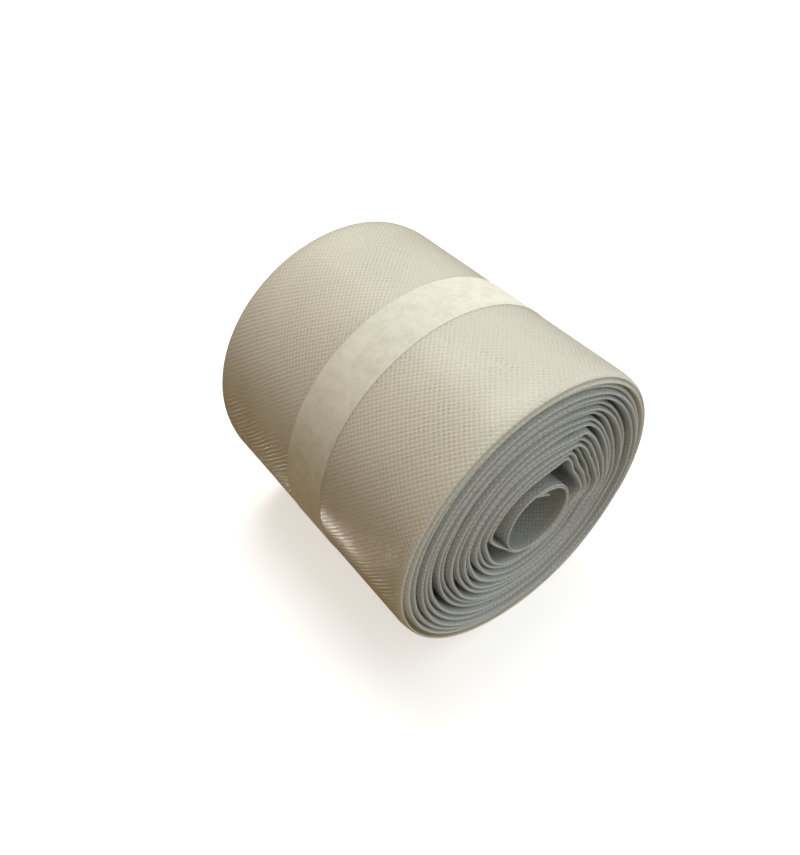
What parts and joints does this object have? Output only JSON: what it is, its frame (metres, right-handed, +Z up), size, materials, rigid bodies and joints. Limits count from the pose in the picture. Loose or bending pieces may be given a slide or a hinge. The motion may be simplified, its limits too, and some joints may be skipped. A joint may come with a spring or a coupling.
{
  "type": "tree guard tube roll",
  "caption": "Lay-flat mesh sleeve for guarding tree trunks, wound into a short hollow roll and held by a glued paper band.",
  "frame": {"origin": "on the surface that the roll lies on, under the middle of its length", "axes": "+X along the roll's axis towards the end where the inner end of the sleeve shows, +Z up"},
  "size_m": [0.15, 0.1452, 0.1445],
  "materials": {
    "mesh": "satin",
    "paper": "matte",
    "glue": "satin"
  },
  "bodies": {
    "roll": {"sleeve_outer_turns": "mesh", "sleeve_middle_turns": "mesh", "sleeve_core_turn": "mesh", "sleeve_outer_end": "mesh"},
    "inner_end": {"sleeve_inner_end": "mesh"},
    "band": {"paper_band": "paper", "band_glue": "glue"},
    "tab": {"band_tab": "paper"}
  },
  "joints": [
    {"name": "band_slide", "type": "slide", "parent": "roll", "child": "band", "axis": [1, 0, 0], "range_m": [-0.095, 0.09]},
    {"name": "tab_peel", "type": "hinge", "parent": "band", "child": "tab", "pos_m": [0.0029, 0.07204, 0.08193], "axis": [-1, 0, 0], "range_deg": [0, 85]},
    {"name": "inner_end_swing", "type": "hinge", "parent": "roll", "child": "inner_end", "pos_m": [0, 0.00176, 0.08424], "axis": [-1, 0, 0], "range_deg": [-12, 40], "stiffness_Nm_per_rad": 0.0005}
  ]
}
